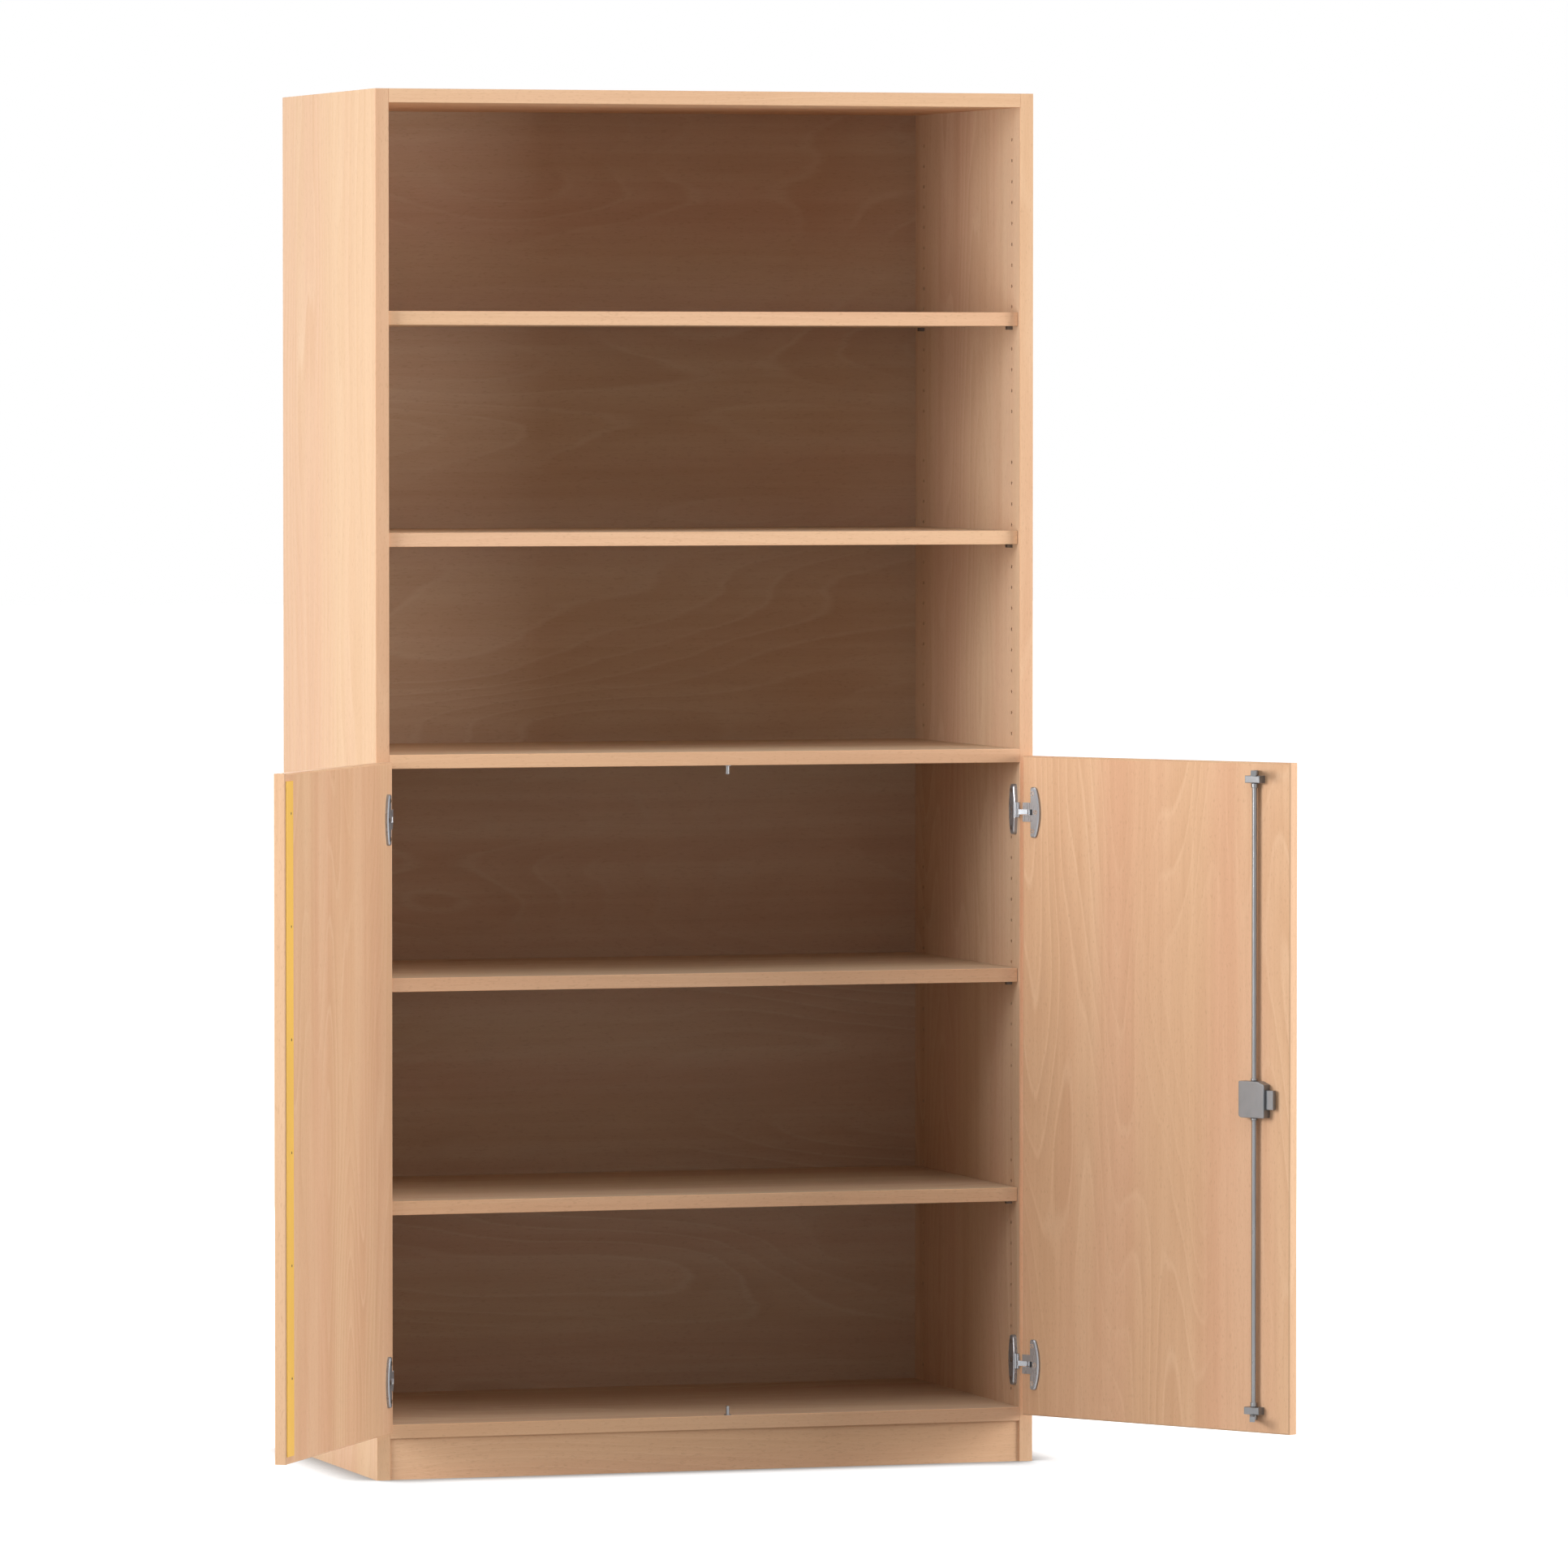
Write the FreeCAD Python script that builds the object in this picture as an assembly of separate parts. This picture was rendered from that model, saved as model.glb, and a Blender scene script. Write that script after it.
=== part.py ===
"""Tall cupboard with three open and three closed compartments and two hinged doors.

Everything is in millimetres.  +Z is up, -Y is the front, X = 0 is the middle of the cupboard, and
the origin is on the floor, under the middle of the front plinth.

Two helper frames keep the sizes readable:
* a side frame (u, v, z): u is measured outwards from the inner face of a side panel and v forwards
  from the front edges of the carcass;
* a door frame (s, h, z): s is measured from the hinge edge towards the free edge and h from the
  inner face of the door towards the inside of the cupboard.
The doors are drawn closed in that frame and then swung open about their hinge pins.
"""
import FreeCAD
import Part
import math
import os

Vector = FreeCAD.Vector

# ---------------------------------------------------------------- carcass
HEIGHT = 1900.0            # floor to the top of the cupboard
WIDTH = 944.0              # over the two side panels
DEPTH = 500.0              # front edges to the rear edges of the side panels
BOARD = 19.0               # sides, top, bottom, middle panel, shelves and plinths
BAND = 2.0                 # thickness of the edge bands
BAND_ROUND = 0.8           # rounding of the carcass and shelf bands
PLINTH_HEIGHT = 56.5       # floor to the underside of the bottom panel
PLINTH_RECESS = 3.0        # front plinth behind the front edges
MIDDLE_TOP = 992.0         # top of the fixed middle panel
BACK_THICKNESS = 8.0
BACK_INSET = 20.0          # rear face of the back panel to the rear edges of the sides
BACK_GROOVE = 8.0          # depth of the groove that holds the back panel
BACK_GROOVE_PLAY = 0.5     # space left at the bottom of that groove

# ---------------------------------------------------------------- shelves and their supports
SHELVES_PER_PART = 2       # adjustable shelves above and below the middle panel
SHELF_RECESS = 9.0         # shelf front behind the front edges
SHELF_END_PLAY = 0.8       # shelf end to side panel
SHELF_BACK_PLAY = 1.0      # shelf to back panel
PIN_DIAMETER = 5.0         # shelf support pin and its hole
PIN_PITCH = 29.0           # distance between the holes of a row
PIN_SETBACK = 37.0         # hole row to the front edge, and to the back panel
PIN_HOLE_DEPTH = 9.0
OUTER_HOLES_PER_ROW = 9    # holes on the far side of a shelf, towards top, middle or bottom panel
INNER_HOLES_PER_ROW = 4    # holes on the side that faces the other shelf
SUPPORT_LEDGE = 8.0        # how far a support stands out of the side panel
SUPPORT_DEPTH = 8.0        # its size front to back

# ---------------------------------------------------------------- dowels
DOWEL_DIAMETER = 8.0
DOWEL_IN_SIDE = 12.0
DOWEL_IN_PANEL = 23.0
DOWELS_PER_END = 4
DOWEL_MARGIN = 60.0        # outermost dowel to the front or rear end of a panel
PLINTH_DOWELS_PER_END = 2
PLINTH_DOWEL_MARGIN = 14.0

# ---------------------------------------------------------------- doors
DOOR_THICKNESS = 16.0
DOOR_CLEARANCE = 2.5       # closed door to the front edges of the carcass
DOOR_REVEAL = 4.0          # closed door's hinge edge inside the outer face of the side panel
CENTRE_GAP = 3.0           # between the two closed doors
DOOR_BAND_ROUND = 1.5
DOOR_OPEN = 122.8          # degrees, the doors as modelled

# ---------------------------------------------------------------- hinges
HINGE_FROM_TOP = 78.0      # door top to the middle of the upper hinge
HINGE_FROM_BOTTOM = 71.0   # door bottom to the middle of the lower hinge
PIVOT_SETBACK = 4.4        # hinge pin axis to the hinge edge of the door
PIVOT_DEPTH = 9.8          # hinge pin axis below the inner face of the door
HINGE_PIN_DIAMETER = 4.0
PIN_RUNNING = 0.05         # radial play of a shaft in a hole that it turns in
EYE_WALL = 1.25
ARM_THICKNESS = 2.6
ARM_HEIGHT = 7.0
ARM_SIDE_GAP = 0.9         # hinge arm to the inner face of the side panel
ARM_BEND = 1.5             # where the arm turns outwards, ahead of the front edges
PLATE_LENGTH = 70.0        # height of both hinge plates
BASE_THICKNESS = 5.5
BASE_FRONT = 9.0           # front of the base plate behind the front edges
BASE_WIDTH = 24.0
BASE_RAISE = 3.1           # base plate's middle above the leaf's middle
BASE_BEVEL = 1.2
BASE_WAIST = 12.0          # straight part of the plate's front edge, above and below its middle
BASE_FRONT_TAPER = 3.6     # front edge set back at the ends of the plate
BASE_REAR_TAPER = 7.0      # rear edge brought forward at the ends
BASE_CORNER = 6.0
BASE_SCREW_SETBACK = 12.5  # outer screws behind the front of the base plate
BASE_MIDDLE_SCREW_SETBACK = 11.0
KNUCKLE_LENGTH = 20.4
KNUCKLE_END_PLAY = 0.4     # top of the knuckles below the notch in the leaf that they enter
REAR_KNUCKLE_RADIUS = 2.2
REAR_KNUCKLE_SETBACK = 4.2 # its axis behind the front edges
REAR_KNUCKLE_LIFT = 3.9    # its axis off the inner face of the side panel
FRONT_KNUCKLE_RADIUS = 1.9
FRONT_KNUCKLE_SETBACK = 0.6
LEAF_THICKNESS = 4.4
LEAF_START = 15.6          # straight side of the leaf to the hinge edge of the door
LEAF_WIDTH = 15.6
LEAF_TIP = 8.6             # width of the leaf at its blunt ends
LEAF_BEVEL = 1.4
LEAF_CORNER = 3.4          # corners of the leaf's straight side
LEAF_TIP_CORNER = 5.0      # corners of its curved side
BLOCK_HEIGHT = 26.6        # bearing block in the hinge edge of the door
BLOCK_LENGTH = 20.0
BLOCK_DEPTH = 14.0
BLOCK_PROUD = 0.8
BLOCK_WALL = 0.9           # metal left behind the arm's slot
SLOT_PLAY = 0.4            # above and below the arm
PLATE_SCREW_SPREAD = 26.0  # outer screws of a hinge plate to its middle

# ---------------------------------------------------------------- screws
SCREW_HEAD_RADIUS = 3.4
SCREW_SHANK_RADIUS = 1.6
SCREW_HEAD_DEPTH = 1.9
SCREW_TIP = 2.5
SCREW_LENGTH = 14.0
RECESS_WIDTH = 0.8         # cross recess in a screw head
RECESS_LENGTH = 3.6
RECESS_DEPTH = 1.0
STRIP_SCREW_SCALE = 0.55
CASE_SCREW_SCALE = 0.7

# ---------------------------------------------------------------- closing strip, left door
STRIP_WIDTH = 26.5
STRIP_THICKNESS = 2.0
STRIP_FROM_EDGE = 2.0
STRIP_END_PLAY = 10.3      # strip's ends inside the ends of the door
STRIP_SCREW_TOP = 43.0     # uppermost screw to the strip's upper end, and least space at the lower end
STRIP_SCREW_PITCH = 150.0
STRIP_SCREW_ACROSS = 18.0  # screws to the strip's edge at the door's free edge

# ---------------------------------------------------------------- rotary rod lock, right door
ROD_FROM_EDGE = 56.2       # rod axis to the free edge of the door
ROD_AXIS_HEIGHT = 7.0      # rod axis above the inner face of the door
ROD_DIAMETER = 6.8
LOCK_Z = 522.5             # middle of the lock case above the floor
CASE_WIDTH = 43.4
CASE_HEIGHT = 50.0
CASE_THICKNESS = 14.3
CASE_WALL = 1.3
CASE_ROUND = 4.6           # lower corner on the hinge side
CASE_SMALL_ROUND = 1.8     # the other square corners
CASE_SLOPE_RUN = 11.0      # sloping upper corner above the tongue
CASE_SLOPE_DROP = 4.5
CASE_EDGE_ROUND = 0.9
CASE_SCREW_MARGIN = 4.4    # case screws to the sides of the case
CASE_SCREW_INSET = 9.0     # case screws to the top and bottom of the case
CASE_PLAY = 0.3            # play of what moves through the case walls
PLATE_THICKNESS = 0.6      # base plate of the lock
SPINDLE_DIAMETER = 8.0
LEVER_THICKNESS = 0.8      # lever on the spindle that pushes the tongue
LEVER_LIFT = 0.3
LEVER_HUB_RADIUS = 7.5
LEVER_CASE_GAP = 0.5       # lever tip to the top wall of the lock case
LEVER_PIN_HEIGHT = 16.6    # tongue pin above the spindle axis
LEVER_PIN_DIAMETER = 3.0
LEVER_SLOT_PLAY = 1.6      # free play of the tongue pin in the lever's slot
LEVER_PRONG = 1.5
ROD_CRANK_RADIUS = 2.0     # crank pin that turns the rod
ROD_CRANK_PIN_DIAMETER = 1.8
KNOB_TRAVEL = 90.0         # degrees
ROD_TRAVEL = 40.5          # degrees
TONGUE_HEIGHT = 26.0
TONGUE_ROUND = 0.8
TONGUE_LOW = 2.5
TONGUE_HIGH = 9.5
TONGUE_PROUD = 12.0        # tongue beyond the case when it is drawn back
TONGUE_ROD_GAP = 1.5       # drawn-back tongue to the driver on the rod
TAIL_THICKNESS = 0.8
TAIL_TOP = 12.6
TAIL_BOTTOM = 1.4
TAIL_EAR = 5.8             # width of the tail's ear that carries the pin
DRIVER_RADIUS = 5.0
DRIVER_LENGTH = 6.8
DRIVER_TOP = 0.8
DRIVER_GROOVE = 3.2
COLLAR_RADIUS = 4.6
COLLAR_LENGTH = 6.4
COLLAR_ROUND = 1.0
LOCK_COLLAR_LENGTH = 3.5
GUIDE_WIDTH = 25.2
GUIDE_LENGTH = 10.0
GUIDE_THICKNESS = 12.9
GUIDE_ROUND = 1.0
GUIDE_PEG_RADIUS = 2.5     # pegs that hold a guide in the door
GUIDE_PEG_LENGTH = 9.0
GUIDE_PEG_MARGIN = 5.4     # pegs to the ends of the guide
ROD_END_PLAY = 1.0         # hooks to the middle panel above
HOOK_LENGTH = 7.0
HOOK_GAP = 0.6             # hook to rod guide
HOOK_ABOVE_STRIKER = 3.0   # top of the lower hook to the tip of its striker pin
COLLAR_GAP = 0.3           # collars to what they run against
HOOK_HUB_RADIUS = 5.4
HOOK_HUB_ROUND = 1.8
HOOK_ARM_THICKNESS = 4.0
HOOK_CLAW = 2.2
HOOK_CLAW_DROP = 3.0
STRIKER_DIAMETER = 5.0
STRIKER_OFFSET = 31.2      # striker pins to the right of the middle
STRIKER_SETBACK = 8.0      # striker pins behind the front edges
STRIKER_REACH = 12.6
STRIKER_ROOT = 12.0
STRIKER_FLANGE_RADIUS = 5.0
STRIKER_FLANGE = 1.0
STRIKER_ROUND = 1.0
HOOK_PLAY = 0.4            # locked hook to striker pin

# ---------------------------------------------------------------- knob and key cylinder, right door
ROSETTE_RADIUS = 19.0
ROSETTE_THICKNESS = 3.0
BUSH_WALL = 2.0
KNOB_GAP = 0.4
KNOB_NECK_RADIUS = 8.5
KNOB_RADIUS = 14.5
KNOB_LENGTH = 24.0
KNOB_SHOULDER = 10.9       # height of the knob's widest part
KNOB_FLARE_HEIGHT = 5.0    # middle of the flare between neck and shoulder
KNOB_FLARE = 0.8           # how little the flare has opened there
KNOB_CROWN_HEIGHT = 18.0   # middle of the crown
KNOB_CROWN = 0.6           # crown beyond the shoulder
KNOB_FACE_INSET = 2.5      # edge of the flat face inside the shoulder
ROSETTE_ROUND = 1.5
CYLINDER_RADIUS = 6.0
CYLINDER_LENGTH = 11.0
CYLINDER_PROUD = 0.6
KEYHOLE_WIDTH = 1.6
KEYHOLE_HEIGHT = 7.0
KEYHOLE_DEPTH = 8.0

# ---------------------------------------------------------------- derived sizes
FRONT = -(PLINTH_RECESS + BOARD / 2)          # Y of the front edges
INNER_HALF = WIDTH / 2 - BOARD                # middle to the inner face of a side panel
BACK_FACE = FRONT + DEPTH - BACK_INSET - BACK_THICKNESS
BOTTOM_TOP = PLINTH_HEIGHT + BOARD
MIDDLE_UNDER = MIDDLE_TOP - BOARD
TOP_UNDER = HEIGHT - BOARD
SHELF_FRONT = FRONT + SHELF_RECESS
SHELF_REAR = BACK_FACE - SHELF_BACK_PLAY
DOOR_WIDTH = WIDTH / 2 - DOOR_REVEAL - CENTRE_GAP / 2
DOOR_BOTTOM = PLINTH_HEIGHT + BOARD / 2
DOOR_TOP = MIDDLE_TOP - BOARD / 2
DOOR_OVERLAY = BOARD - DOOR_REVEAL            # u of the closed door's hinge edge
PIVOT_U = DOOR_OVERLAY - PIVOT_SETBACK
PIVOT_V = DOOR_CLEARANCE + PIVOT_DEPTH
HINGE_Z = {"upper": DOOR_TOP - HINGE_FROM_TOP, "lower": DOOR_BOTTOM + HINGE_FROM_BOTTOM}
ROD_S = DOOR_WIDTH - ROD_FROM_EDGE
CASE_RIGHT = ROD_S + CASE_WIDTH / 2
HOOK_TOP = MIDDLE_UNDER - ROD_END_PLAY
UPPER_GUIDE_TOP = HOOK_TOP - HOOK_LENGTH - HOOK_GAP
LOWER_HOOK_TOP = BOTTOM_TOP + STRIKER_REACH + HOOK_ABOVE_STRIKER
LOWER_GUIDE_BOTTOM = LOWER_HOOK_TOP + HOOK_GAP
SIDES = {"left": -1, "right": 1}


# ---------------------------------------------------------------- helpers
def box(x0, x1, y0, y1, z0, z1):
    """Axis-aligned box between two corners given in any order."""
    low = Vector(min(x0, x1), min(y0, y1), min(z0, z1))
    return Part.makeBox(abs(x1 - x0), abs(y1 - y0), abs(z1 - z0), low)


def in_side(side, u, v, z):
    """Point of the side frame in the cupboard's frame."""
    return Vector(side * (INNER_HALF + u), FRONT - v, z)


def in_door(side, s, h, z):
    """Point of the closed door's frame in the cupboard's frame."""
    return in_side(side, DOOR_OVERLAY - s, DOOR_CLEARANCE - h, z)


def box_between(a, b):
    return box(a.x, b.x, a.y, b.y, a.z, b.z)


def side_box(side, u0, u1, v0, v1, z0, z1):
    return box_between(in_side(side, u0, v0, z0), in_side(side, u1, v1, z1))


def door_box(side, s0, s1, h0, h1, z0, z1):
    return box_between(in_door(side, s0, h0, z0), in_door(side, s1, h1, z1))


def upright(point, radius, length):
    """Vertical cylinder that stands on a point."""
    return Part.makeCylinder(radius, length, point)


def along(point, direction, radius, length):
    return Part.makeCylinder(radius, length, point, direction)


def swing(shape, side):
    """Swing a closed door's piece open about the hinge pins."""
    pivot = in_side(side, PIVOT_U, PIVOT_V, 0)
    opened = shape.copy()
    opened.rotate(pivot, Vector(0, 0, 1), side * DOOR_OPEN)
    return opened


def prism(points, height):
    """Extrude a closed outline: a point joins by a line, a pair of points by an arc through the first."""
    edges = []
    start = points[0]
    here = start
    for item in points[1:] + [start]:
        if isinstance(item, tuple):
            edges.append(Part.Arc(here, item[0], item[1]).toShape())
            here = item[1]
        elif here.distanceToPoint(item) > 1e-6:
            edges.append(Part.makeLine(here, item))
            here = item
    return Part.Face(Part.Wire(edges)).extrude(height)


def rim_edges(shape, point, normal):
    """Edges of a shape that lie in the plane through a point."""
    return [edge for edge in shape.Edges
            if all(abs((vertex.Point - point).dot(normal)) < 1e-6 for vertex in edge.Vertexes)
            and abs((edge.CenterOfMass - point).dot(normal)) < 1e-6]


def long_edges(shape, axis, length):
    """Straight edges of a given length along one axis, such as the arrises of a band."""
    found = []
    for edge in shape.Edges:
        run = edge.Vertexes[-1].Point - edge.Vertexes[0].Point
        if abs(abs(getattr(run, axis)) - length) < 1e-6 and abs(run.Length - length) < 1e-6:
            found.append(edge)
    return found


def spread(first, last, count):
    """Evenly spaced places from first to last."""
    return [first + (last - first) * i / (count - 1) for i in range(count)]


def screw(scale=1.0, recess=True):
    """Countersunk screw with its head at the origin and its tip towards -Z."""
    head = SCREW_HEAD_RADIUS * scale
    shank = SCREW_SHANK_RADIUS * scale
    length = SCREW_LENGTH * scale
    outline = [Vector(0, 0, 0), Vector(head, 0, 0), Vector(shank, 0, -SCREW_HEAD_DEPTH * scale),
               Vector(shank, 0, -length + SCREW_TIP * scale), Vector(0, 0, -length)]
    body = Part.Face(Part.makePolygon(outline + [outline[0]])).revolve(Vector(), Vector(0, 0, 1), 360)
    if recess:
        half = RECESS_LENGTH * scale / 2
        wide = RECESS_WIDTH * scale / 2
        low = -RECESS_DEPTH * scale
        cross = box(-half, half, -wide, wide, low, 0).fuse(box(-wide, wide, -half, half, low, 0))
        body = body.cut(cross)
    return body


def place_screw(point, outward, scale=1.0, recess=True):
    """Screw whose head lies at a point and faces the given way."""
    body = screw(scale, recess)
    body.Placement = FreeCAD.Placement(point, FreeCAD.Rotation(Vector(0, 0, 1), outward))
    return body


def cut_all(shape, tools):
    return shape.cut(Part.makeCompound(tools)) if tools else shape


nodes = {}


def keep(name, *shapes):
    nodes[name] = shapes[0] if len(shapes) == 1 else Part.makeCompound(list(shapes))


# ---------------------------------------------------------------- places that several pieces share
def shelf_bottoms():
    """Undersides of the adjustable shelves with the number of holes below and above each."""
    places = []
    for floor, ceiling in ((MIDDLE_TOP, TOP_UNDER), (BOTTOM_TOP, MIDDLE_UNDER)):
        clear = (ceiling - floor - SHELVES_PER_PART * BOARD) / (SHELVES_PER_PART + 1)
        for i in range(SHELVES_PER_PART):
            bottom = floor + clear + i * (clear + BOARD)
            below = OUTER_HOLES_PER_ROW if i == 0 else INNER_HOLES_PER_ROW
            above = OUTER_HOLES_PER_ROW if i == SHELVES_PER_PART - 1 else INNER_HOLES_PER_ROW
            places.append((bottom, below, above))
    return places


def pin_rows():
    """Y of the front and of the rear row of shelf pin holes."""
    return FRONT + PIN_SETBACK, BACK_FACE - PIN_SETBACK


def panel_dowels():
    """Y and Z of the dowels that join the panels and plinths to one side panel."""
    places = []
    rows = spread(FRONT + DOWEL_MARGIN, BACK_FACE - DOWEL_MARGIN, DOWELS_PER_END)
    for top in (HEIGHT, MIDDLE_TOP, BOTTOM_TOP):
        places += [(y, top - BOARD / 2) for y in rows]
    heights = spread(PLINTH_DOWEL_MARGIN, PLINTH_HEIGHT - PLINTH_DOWEL_MARGIN, PLINTH_DOWELS_PER_END)
    for y in (0.0, REAR_PLINTH_Y):
        places += [(y, z) for z in heights]
    return places


REAR_PLINTH_Y = BACK_FACE - BOARD / 2


def hinge_base_screws(side, z):
    """Head points of the three screws in a hinge base plate."""
    middle = z + BASE_RAISE
    outer = -(BASE_FRONT + BASE_SCREW_SETBACK)
    inner = -(BASE_FRONT + BASE_MIDDLE_SCREW_SETBACK)
    return [in_side(side, -BASE_THICKNESS, v, middle + dz)
            for v, dz in ((outer, PLATE_SCREW_SPREAD), (inner, 0), (outer, -PLATE_SCREW_SPREAD))]


def hinge_leaf_screws(side, z):
    """Head points of the three screws in a hinge leaf on the closed door."""
    near = LEAF_START + SCREW_HEAD_RADIUS + 0.6
    far = BLOCK_LENGTH + SCREW_HEAD_RADIUS + 1.4
    return [in_door(side, s, LEAF_THICKNESS, z + dz)
            for s, dz in ((near, PLATE_SCREW_SPREAD), (far, 0), (near, -PLATE_SCREW_SPREAD))]


def strip_screws():
    low = DOOR_BOTTOM + STRIP_END_PLAY + STRIP_SCREW_TOP
    high = DOOR_TOP - STRIP_END_PLAY - STRIP_SCREW_TOP
    count = 1 + int((high - low) / STRIP_SCREW_PITCH)
    s = DOOR_WIDTH - STRIP_FROM_EDGE - STRIP_SCREW_ACROSS
    return [in_door(-1, s, STRIP_THICKNESS, high - i * STRIP_SCREW_PITCH) for i in range(count)]


INWARD = Vector(0, 1, 0)      # out of the inner face of a closed door
OUTWARD = Vector(0, -1, 0)    # out of its outer face


# ---------------------------------------------------------------- carcass
def build_sides():
    for name, side in SIDES.items():
        panel = side_box(side, 0, BOARD, -BAND, -DEPTH, 0, HEIGHT)
        tools = []
        groove_depth = BACK_GROOVE + BACK_GROOVE_PLAY
        tools.append(box_between(
            Vector(side * INNER_HALF, BACK_FACE, PLINTH_HEIGHT),
            Vector(side * (INNER_HALF + groove_depth), BACK_FACE + BACK_THICKNESS, HEIGHT)))
        inwards = Vector(side, 0, 0)
        for bottom, below, above in shelf_bottoms():
            for k in range(-below, above + 1):
                z = bottom - PIN_DIAMETER / 2 + k * PIN_PITCH
                for y in pin_rows():
                    start = Vector(side * INNER_HALF, y, z)
                    tools.append(along(start, inwards, PIN_DIAMETER / 2, PIN_HOLE_DEPTH))
        for y, z in panel_dowels():
            start = Vector(side * INNER_HALF, y, z)
            tools.append(along(start, inwards, DOWEL_DIAMETER / 2, DOWEL_IN_SIDE))
        for z in HINGE_Z.values():
            for point in hinge_base_screws(side, z):
                tools.append(place_screw(point, Vector(-side, 0, 0), recess=False))
        keep("side_panel_" + name, cut_all(panel, tools))
        band = side_box(side, 0, BOARD, 0, -BAND, 0, HEIGHT)
        front_edges = [e for e in long_edges(band, "z", HEIGHT) if abs(e.CenterOfMass.y - FRONT) < 1e-6]
        keep("edge_band_side_" + name, band.makeFillet(BAND_ROUND, front_edges))


def front_band(half_width, front, z0, z1):
    """Edge band across the front of a board, with rounded long arrises."""
    band = box(-half_width, half_width, front, front + BAND, z0, z1)
    front_edges = [e for e in long_edges(band, "x", 2 * half_width)
                   if abs(e.CenterOfMass.y - front) < 1e-6]
    return band.makeFillet(BAND_ROUND, front_edges)


def build_panels():
    dowels = panel_dowels()
    for name, top, rear in (("top_panel", HEIGHT, FRONT + DEPTH),
                            ("middle_panel", MIDDLE_TOP, BACK_FACE),
                            ("bottom_panel", BOTTOM_TOP, BACK_FACE)):
        panel = box(-INNER_HALF, INNER_HALF, FRONT + BAND, rear, top - BOARD, top)
        tools = []
        for y, z in dowels:
            if top - BOARD < z < top:
                for side in SIDES.values():
                    start = Vector(side * INNER_HALF, y, z)
                    tools.append(along(start, Vector(-side, 0, 0), DOWEL_DIAMETER / 2, DOWEL_IN_PANEL))
        if name == "top_panel":
            tools.append(box(-INNER_HALF, INNER_HALF, BACK_FACE, BACK_FACE + BACK_THICKNESS,
                             TOP_UNDER, TOP_UNDER + BACK_GROOVE + BACK_GROOVE_PLAY))
        for striker, root in striker_pins():
            if striker == name:
                tools.append(root)
        keep(name, cut_all(panel, tools))
        keep("edge_band_" + name, front_band(INNER_HALF, FRONT, top - BOARD, top))

    half = INNER_HALF + BACK_GROOVE
    keep("back_panel", box(-half, half, BACK_FACE, BACK_FACE + BACK_THICKNESS,
                           PLINTH_HEIGHT, TOP_UNDER + BACK_GROOVE))

    for name, y in (("plinth_front", 0.0), ("plinth_rear", REAR_PLINTH_Y)):
        plinth = box(-INNER_HALF, INNER_HALF, y - BOARD / 2, y + BOARD / 2, 0, PLINTH_HEIGHT)
        tools = []
        for dowel_y, z in dowels:
            if z < PLINTH_HEIGHT and abs(dowel_y - y) < BOARD / 2:
                for side in SIDES.values():
                    start = Vector(side * INNER_HALF, dowel_y, z)
                    tools.append(along(start, Vector(-side, 0, 0), DOWEL_DIAMETER / 2, DOWEL_IN_PANEL))
        keep(name, cut_all(plinth, tools))


def build_dowels():
    for name, side in SIDES.items():
        length = DOWEL_IN_SIDE + DOWEL_IN_PANEL
        keep("panel_dowels_" + name, *[
            along(Vector(side * (INNER_HALF - DOWEL_IN_PANEL), y, z), Vector(side, 0, 0),
                  DOWEL_DIAMETER / 2, length)
            for y, z in panel_dowels()])


def build_shelves():
    half = INNER_HALF - SHELF_END_PLAY
    bands = []
    supports = []
    names = ("shelf_open_lower", "shelf_open_upper", "shelf_closed_lower", "shelf_closed_upper")
    for name, (bottom, _, _) in zip(names, shelf_bottoms()):
        keep(name, box(-half, half, SHELF_FRONT + BAND, SHELF_REAR, bottom, bottom + BOARD))
        bands.append(front_band(half, SHELF_FRONT, bottom, bottom + BOARD))
        for side in SIDES.values():
            for y in pin_rows():
                supports.append(shelf_support(side, y, bottom))
    keep("edge_bands_shelves", *bands)
    keep("shelf_supports", *supports)


def shelf_support(side, y, shelf_bottom):
    """Support with a flat ledge under the shelf and a round pin in the side panel."""
    z = shelf_bottom - PIN_DIAMETER / 2
    ledge = box(side * INNER_HALF, side * (INNER_HALF - SUPPORT_LEDGE),
                y - SUPPORT_DEPTH / 2, y + SUPPORT_DEPTH / 2, z - PIN_DIAMETER / 2, shelf_bottom)
    pin = along(Vector(side * INNER_HALF, y, z), Vector(side, 0, 0),
                PIN_DIAMETER / 2, PIN_HOLE_DEPTH)
    return ledge.fuse(pin)


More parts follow.
